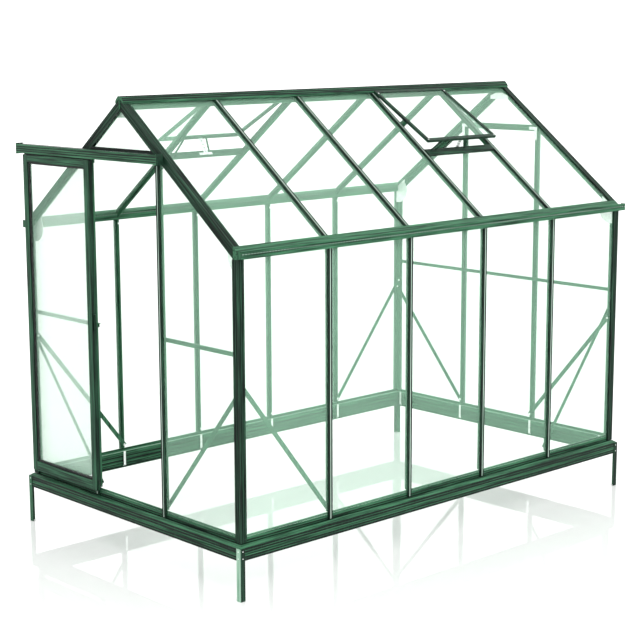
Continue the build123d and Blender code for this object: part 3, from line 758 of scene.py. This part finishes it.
def gutter_caps(bm):
    """Stop ends in the gutters, each a plate with a lip along its foot."""
    wall = 0.002
    setback = 0.0008  # from the gutter's end
    lip = 2 * wall
    near = HALF_WIDTH + 0.0005
    far = GUTTER_HIGH.x - 0.0038  # just inside the gutter's outer wall
    low, high = EAVE_Z - 0.0300, EAVE_Z + 0.0078
    for side in (-1, 1):
        x0, x1 = sorted((side * near, side * far))
        for y, way in ((GUTTER_LOW.y, 1), (GUTTER_HIGH.y, -1)):
            y0, y1 = sorted((y + way * setback, y + way * (setback + wall)))
            add_block(bm, Matrix(), (x0, y0, low), (x1, y1, high))
            y0, y1 = sorted((y + way * (setback + wall), y + way * (setback + wall + lip)))
            add_block(bm, Matrix(), (x0, y0, low), (x1, y1, low + wall))


STRIP_HALF = 0.002
STRIP_FOOT = -0.006  # against the cap's outer face
STRIP_TOP = -0.0006
GROOVE_STRIP = [
    (-STRIP_HALF, STRIP_FOOT),
    (STRIP_HALF, STRIP_FOOT),
    (STRIP_HALF, STRIP_TOP),
    (-STRIP_HALF, STRIP_TOP),
]
STRIP_GAP = 0.005  # over the base ring


def upright_highlight_strips(bm):
    """The pale strip of painted highlight that stands in the groove of each upright glazing bar.
    """
    foot = BASE_TOP + STRIP_GAP
    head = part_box("door_jambs")[1].z
    for side in (-1, 1):
        for y in SIDE_LINES[1:-1]:
            x = side * HALF_WIDTH
            start, end = Vector((x, y, foot)), Vector((x, y, POST_HIGH.z))
            add_length(bm, GROOVE_STRIP, start, end, (side, 0, 0))
        for sy in (-1, 1):
            x, y = side * JAMB_X, sy * HALF_LENGTH
            add_length(bm, GROOVE_STRIP, spot(x, y, foot), spot(x, y, head), (0, sy, 0))


def roof_highlight_strips(bm, side):
    """The pale strip of painted highlight that stands in the groove of each roof bar of one
    slope.
    """
    ridge_gap, eave_gap = 0.0015, 0.036
    top = (RIDGE_EDGE + ridge_gap) / FALL
    low = (HALF_WIDTH - eave_gap) / FALL
    for y in SIDE_LINES[1:-1]:
        start, end = on_roof(side, top, 0.0, y), on_roof(side, low, 0.0, y)
        add_length(bm, GROOVE_STRIP, start, end, (side * RISE, 0, FALL))


PANEL_IN = 0.026  # of the base's inner panels from the frame's outer face
PANEL_WALL = 0.002
PANEL_LOW = 0.0045  # over the base ring's foot, as all levels of the panels are
PANEL_HIGH = 0.0775
PANEL_STEPS = (0.018, 0.034, 0.058)
PANEL_LINES = (0.009, 0.026, 0.046, 0.070)
STEP_FOOT_HALF = 0.006
STEP_TOP_HALF = 0.005
LINE_HALF = 0.0032
LINE_WALL = 0.0012


def base_inner_runs():
    """The foot line of the base ring's inner side along each wall, with its inward direction."""
    x, y = HALF_WIDTH - PANEL_IN, HALF_LENGTH - PANEL_IN
    for way in (-1, 1):
        yield "y", spot(way * x, -y, BASE_Z), spot(way * x, y, BASE_Z), (-way, 0, 0)
        yield "x", spot(-x, way * y, BASE_Z), spot(x, way * y, BASE_Z), (0, -way, 0)


def inner_panels(bm, run):
    """The inner walls of the base ring, each with shallow steps along it."""
    section = [(PANEL_LOW, 0.0), (PANEL_HIGH, 0.0), (PANEL_HIGH, PANEL_WALL)]
    for level in reversed(PANEL_STEPS):
        section += [
            (level + STEP_FOOT_HALF, PANEL_WALL),
            (level + STEP_TOP_HALF, 2 * PANEL_WALL),
            (level - STEP_TOP_HALF, 2 * PANEL_WALL),
            (level - STEP_FOOT_HALF, PANEL_WALL),
        ]
    section.append((PANEL_LOW, PANEL_WALL))
    for axis, start, end, inwards in base_inner_runs():
        if axis != run:
            continue
        rise = Vector(inwards).cross(end - start).z
        turned = [(a if rise > 0 else -a, b) for a, b in section]
        add_length(bm, turned, start, end, inwards)


def inner_lines(bm):
    """Dark lines of painted shade between the steps of the base ring's inner walls."""
    sunk = 0.0005
    for _, start, end, inwards in base_inner_runs():
        for level in PANEL_LINES:
            lift = Vector((0.0, 0.0, level)) + Vector(inwards) * (PANEL_WALL - sunk)
            add_length(bm, flat(LINE_HALF, LINE_WALL), start + lift, end + lift, inwards)


def ring_strip(bm, section, x, y, level):
    """A strip on each outer face of a ring whose faces are x and y from the frame's middle."""
    for way in (-1, 1):
        for start, end, outward in (
            (spot(way * x, -y, level), spot(way * x, y, level), (way, 0, 0)),
            (spot(-x, way * y, level), spot(x, way * y, level), (0, way, 0)),
        ):
            add_length(bm, section, start, end, outward)


def base_groove_shade_lines(bm):
    """Near-black lines of painted shade over the base ring's grooves, wider than the ribs between
    them.
    """
    section = flat(0.0045, 0.0008)
    for groove in SHADED_GROOVES:
        level = BASE_Z + (groove + 0.5) * GROOVE_STEP
        ring_strip(bm, section, SKIRT_X, SKIRT_Y, level)


def sill_lines(bm):
    """The dark line along the outer face of each sill."""
    level = BASE_TOP + 0.010
    section = flat(LINE_HALF, 0.0010)
    ring_strip(bm, section, HALF_WIDTH - CAP_DEPTH, HALF_LENGTH - CAP_DEPTH, level)


def door_brush(bm):
    """The brush strip on top of the door, reaching up to the track."""
    rail_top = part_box("door_rails")[1].z
    track_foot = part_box("door_track")[0].z + 0.006
    gap = 0.0012
    reach = track_foot - rail_top - gap
    half, tip_half, holder = 0.006, 0.004, 0.002
    right = [(half, 0.0), (half, holder), (tip_half, reach)]
    section = [(-half, 0.0)] + right + [(-tip_half, reach), (-half, holder)]
    middle = (STILE_LOW.y + STILE_HIGH.y) / 2
    end_gap = 0.002
    start = Vector((STILE_LOW.x + end_gap, middle, rail_top))
    end = Vector((STILE_HIGH.x - end_gap, middle, rail_top))
    add_length(bm, section, start, end, (0, 0, 1))


def ridge_beads(bm):
    """Two raised beads along each slope of the ridge's cap."""
    top_half, top_z = 0.012, RIDGE_HIGH.z
    edge_z = top_z + 0.001 - RIDGE_EDGE * math.tan(PITCH)
    section = flat(0.0022, 0.0012)
    for side in (-1, 1):
        run = Vector((side * (RIDGE_EDGE - top_half), 0.0, edge_z - top_z))
        normal = (-run.z * side, 0.0, run.x * side)
        for share in (0.3, 0.68):
            x = side * top_half + run.x * share
            z = top_z + run.z * share
            start, end = Vector((x, RIDGE_LOW.y, z)), Vector((x, RIDGE_HIGH.y, z))
            add_length(bm, section, start, end, normal)


def gasket(bm):
    """Black rubber round the door's glass, on both faces."""
    pane_low, pane_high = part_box("door_glass")
    edge = 0.002  # from the glass to the bottom of its slot
    lap = 0.008 - edge  # of the pane in its slot
    half, wall = 0.0055, 0.0075
    section = flat(half, wall)
    left, right = pane_low.x + lap, pane_high.x - lap
    foot, head = pane_low.z + lap + edge, pane_high.z - lap
    for face, way in ((pane_low.y, -1), (pane_high.y, 1)):
        outward = (0, way, 0)
        for x in (left + half, right - half):
            add_length(bm, section, Vector((x, face, foot)), Vector((x, face, head)), outward)
        for z in (foot + half, head - half):
            add_length(bm, section, Vector((left, face, z)), Vector((right, face, z)), outward)


def on_roof(side, down, out, y):
    """A point on a slope: down from the ridge line, out from the roof's surface."""
    x = down * FALL + out * RISE
    return Vector((side * x, y, APEX_Z - down * RISE + out * FALL))


VENT_BAY = {-1: 1, 1: 3}  # the left and the right vent's, counted from the door
VENT_OPEN = {-1: math.radians(9.0), 1: math.radians(5.7)}
HINGE_DOWN = RIDGE_EDGE / FALL + 0.003  # down the slope from the ridge line
HINGE_UP = 0.001
VENT_LENGTH = 0.532
VENT_RAIL = 0.024
VENT_WALL = 0.016
VENT_SILL_START = 0.577  # down the slope from the ridge line
VENT_SILL_STAND = 0.003  # out of the roof's surface


def vent_middle(side):
    """The middle of a vent's bay along the roof."""
    bay = VENT_BAY[side]
    return (SIDE_LINES[bay] + SIDE_LINES[bay + 1]) / 2


def on_vent(side, down, out, y):
    """A point on an open vent: down from its hinge, out from its underside."""
    tilt = VENT_OPEN[side]
    along = HINGE_DOWN + down * math.cos(tilt) - out * math.sin(tilt)
    rise = HINGE_UP + down * math.sin(tilt) + out * math.cos(tilt)
    return on_roof(side, along, rise, y)


ARM_HALF = 0.006
ARM_HALF_WALL = 0.0015
ARM_SPANS = ((-0.255, -0.165), (-0.215, -0.125), (0.045, 0.045))  # (foot, head) along the roof


def vent_arms(bm):
    """Flat arms from the sill up to each vent's lower rail: a slanted pair and an upright."""
    low, high = -ARM_HALF_WALL, ARM_HALF_WALL
    strip = [(-ARM_HALF, low), (ARM_HALF, low), (ARM_HALF, high), (-ARM_HALF, high)]
    foot_down = VENT_SILL_START + 0.012
    rail_down = VENT_LENGTH - VENT_RAIL / 2
    for side in (-1, 1):
        middle = vent_middle(side)
        outward = on_roof(side, 1.0, 0.0, 0.0) - on_roof(side, 0.0, 0.0, 0.0)
        for foot_y, head_y in ARM_SPANS:
            foot = on_roof(side, foot_down, VENT_SILL_STAND, middle + foot_y)
            head = on_vent(side, rail_down, 0.0, middle + head_y)
            add_length(bm, strip, foot, head, outward)


def vent_trim(bm):
    """A small screw at each corner of each vent's frame."""
    across = BAY / 2 - 0.015
    turn, scale = 0.3, 0.55
    for side in (-1, 1):
        middle = vent_middle(side)
        up = on_vent(side, 0.0, 1.0, 0.0) - on_vent(side, 0.0, 0.0, 0.0)
        for sy in (-1, 1):
            for down in (0.030, VENT_LENGTH - 0.012):
                place = on_vent(side, down, VENT_WALL, middle + sy * across)
                nut(bm, place, up, turn, scale)


def stay_pegs(bm):
    """The row of pegs along each vent's stay, on both of its faces."""
    count = 4
    foot_down, foot_out = VENT_SILL_START - 0.004, -0.022
    head_down, head_out = VENT_LENGTH - VENT_RAIL / 2, -0.006
    first, spacing = 0.6, count + 0.2  # of the pegs along the stay
    radius, height, dome, half_wall = 0.0042, 0.0008, 0.0003, 0.002
    for side in (-1, 1):
        middle = vent_middle(side)
        foot = on_roof(side, foot_down, foot_out, middle)
        along = on_vent(side, head_down, head_out, middle) - foot
        outward = Vector((0.0, 1.0, 0.0)).cross(along).normalized()
        for k in range(count):
            point = foot + along * (k + first) / spacing
            for way in (-1, 1):
                turned = facing(outward * way, (0.0, 1.0, 0.0))
                place = Matrix.Translation(point + outward * way * half_wall) @ turned
                add_round(bm, place, radius, 0.0, height, dome, 12)


LATCH_WIRE = 0.0024


def latch_mesh(name):
    """A wire loop that hangs from the door's leading stile, near its foot."""
    curve = bpy.data.curves.new(name, "CURVE")
    curve.dimensions = "3D"
    curve.bevel_depth = LATCH_WIRE / 2
    curve.bevel_resolution = 2
    spline = curve.splines.new("NURBS")
    edge = STILE_HIGH.x
    y = (STILE_LOW.y + STILE_HIGH.y) / 2
    foot = STILE_LOW.z
    points = [
        (edge - 0.002, y, foot + 0.060),
        (edge + 0.006, y, foot + 0.058),
        (edge + 0.009, y, foot + 0.040),
        (edge + 0.010, y, foot + 0.024),
        (edge + 0.022, y - 0.004, foot + 0.022),
        (edge + 0.024, y - 0.004, foot + 0.036),
        (edge + 0.016, y - 0.002, foot + 0.038),
    ]
    spline.points.add(len(points) - 1)
    for point, place in zip(spline.points, points):
        point.co = (*place, 1.0)
    spline.order_u = 4
    spline.use_endpoint_u = True
    holder = bpy.data.objects.new(name, curve)
    mesh = bpy.data.meshes.new_from_object(holder)
    bpy.data.objects.remove(holder)
    bpy.data.curves.remove(curve)
    return mesh


GREENHOUSE = "greenhouse"
PLATED = (BRIGHT, "bright_plate")
NYLON = (BLACK, "roller_plastic")


def coated(shade, along):
    """A powder coat with its slot."""
    return powder_coat(shade, along), "powder_coat"


for name, build, body, (material, slot) in (
    ("wall_bar_nuts", wall_nuts, GREENHOUSE, PLATED),
    ("brace_nuts", brace_nuts, GREENHOUSE, PLATED),
    ("stake_bolts", stake_bolts, GREENHOUSE, PLATED),
    ("base_straps", base_straps, GREENHOUSE, PLATED),
    ("header_brackets", header_brackets, GREENHOUSE, PLATED),
    ("vent_corner_screws", vent_trim, GREENHOUSE, PLATED),
    ("vent_stay_pegs", stay_pegs, GREENHOUSE, NYLON),
    ("eave_bands", eave_bands, GREENHOUSE, coated("black", "y")),
    ("eave_studs", eave_studs, GREENHOUSE, coated("pale", "y")),
    ("gutter_stop_ends", gutter_caps, GREENHOUSE, coated("green", "z")),
    # Pale strips of painted highlight in the bars' grooves
    ("upright_groove_strips", upright_highlight_strips, GREENHOUSE, coated("bright", "z")),
    (
        "right_roof_groove_strips",
        partial(roof_highlight_strips, side=1),
        GREENHOUSE,
        coated("bright", "right_slope"),
    ),
    (
        "left_roof_groove_strips",
        partial(roof_highlight_strips, side=-1),
        GREENHOUSE,
        coated("bright", "left_slope"),
    ),
    ("base_inner_sides", partial(inner_panels, run="y"), GREENHOUSE, coated("green", "y")),
    ("base_inner_ends", partial(inner_panels, run="x"), GREENHOUSE, coated("green", "x")),
    # Dark strips of painted shade on the base ring
    ("base_inner_lines", inner_lines, GREENHOUSE, coated("black", "z")),
    ("base_outer_lines", base_groove_shade_lines, GREENHOUSE, coated("black", "z")),
    ("sill_outer_lines", sill_lines, GREENHOUSE, coated("black", "z")),
    ("door_top_brush", door_brush, "door", NYLON),
    ("ridge_beads", ridge_beads, GREENHOUSE, coated("green", "y")),
    ("vent_arms", vent_arms, GREENHOUSE, coated("deep", "z")),
    ("door_gasket", gasket, "door", NYLON),
):
    piece(name, mesh_of(name, build), body, material, slot)
piece("door_latch_wire", latch_mesh("door_latch_wire"), "door", *NYLON)


# Stage, light and camera -------------------------------------------------------------------


FLOOR_REACH = 60.0
SURROUND_STRENGTH = 1.6
LIGHT_AIM = Vector((0.0, 0.0, 1.2))
LIGHTS = (  # name, location, size in metres, power in watts
    ("key", (7.5, -2.0, 5.5), 5.0, 420.0),
    ("fill", (-6.0, -6.0, 5.0), 6.0, 40.0),
)
CAMERA_PLACE = (6.992, -6.7095, 2.894)
CAMERA_YAW = math.radians(48.439)
CAMERA_PITCH = math.radians(10.133)
CAMERA_ROLL = math.radians(-0.504)
CAMERA_SENSOR = 36.0
CAMERA_LENS = 90.18
CAMERA_SHIFT = 0.08
CAMERA_REACH = 200.0


def make_floor():
    """A plain pale floor, glossy enough to reflect the object faintly."""
    material, _, shader = new_material("pale_floor")
    shader.inputs["Base Color"].default_value = (0.74, 0.75, 0.74, 1.0)
    shader.inputs["Roughness"].default_value = 0.03
    shader.inputs["Specular IOR Level"].default_value = 1.0
    bm = bmesh.new()
    ways = ((-1, -1), (1, -1), (1, 1), (-1, 1))
    bm.faces.new([bm.verts.new((x * FLOOR_REACH, y * FLOOR_REACH, 0.0)) for x, y in ways])
    mesh = bpy.data.meshes.new("floor")
    bm.to_mesh(mesh)
    bm.free()
    mesh.materials.append(material)
    floor = bpy.data.objects.new("floor", mesh)
    bpy.context.scene.collection.objects.link(floor)


def make_light():
    """An even white surround with a soft light from the front right and a weak one left."""
    world = bpy.data.worlds.new("studio")
    bpy.context.scene.world = world
    world.use_nodes = True
    background = world.node_tree.nodes["Background"]
    background.inputs["Color"].default_value = (1.0, 1.0, 1.0, 1.0)
    background.inputs["Strength"].default_value = SURROUND_STRENGTH
    for name, location, size, power in LIGHTS:
        light = bpy.data.lights.new(name, "AREA")
        light.shape = "SQUARE"
        light.size = size
        light.energy = power
        lamp = bpy.data.objects.new(name, light)
        lamp.location = location
        aim = LIGHT_AIM - Vector(location)
        lamp.rotation_euler = aim.to_track_quat("-Z", "Y").to_euler()
        bpy.context.scene.collection.objects.link(lamp)


def make_camera():
    """The camera at the photograph's viewing angle."""
    data = bpy.data.cameras.new("camera")
    camera = bpy.data.objects.new("camera", data)
    bpy.context.scene.collection.objects.link(camera)
    bpy.context.scene.camera = camera
    level = math.cos(CAMERA_PITCH)
    back = Vector(
        (math.sin(CAMERA_YAW) * level, -math.cos(CAMERA_YAW) * level, math.sin(CAMERA_PITCH))
    )
    right = Vector((0.0, 0.0, 1.0)).cross(back).normalized()
    up = back.cross(right)
    x_axis = math.cos(CAMERA_ROLL) * right + math.sin(CAMERA_ROLL) * up
    y_axis = -math.sin(CAMERA_ROLL) * right + math.cos(CAMERA_ROLL) * up
    turn = Matrix((x_axis, y_axis, back)).transposed().to_4x4()
    camera.matrix_world = Matrix.Translation(CAMERA_PLACE) @ turn
    data.sensor_width = CAMERA_SENSOR
    data.lens = CAMERA_LENS
    data.shift_x = CAMERA_SHIFT
    data.clip_end = CAMERA_REACH


make_floor()
make_light()
make_camera()
bpy.context.scene.view_settings.view_transform = "Standard"
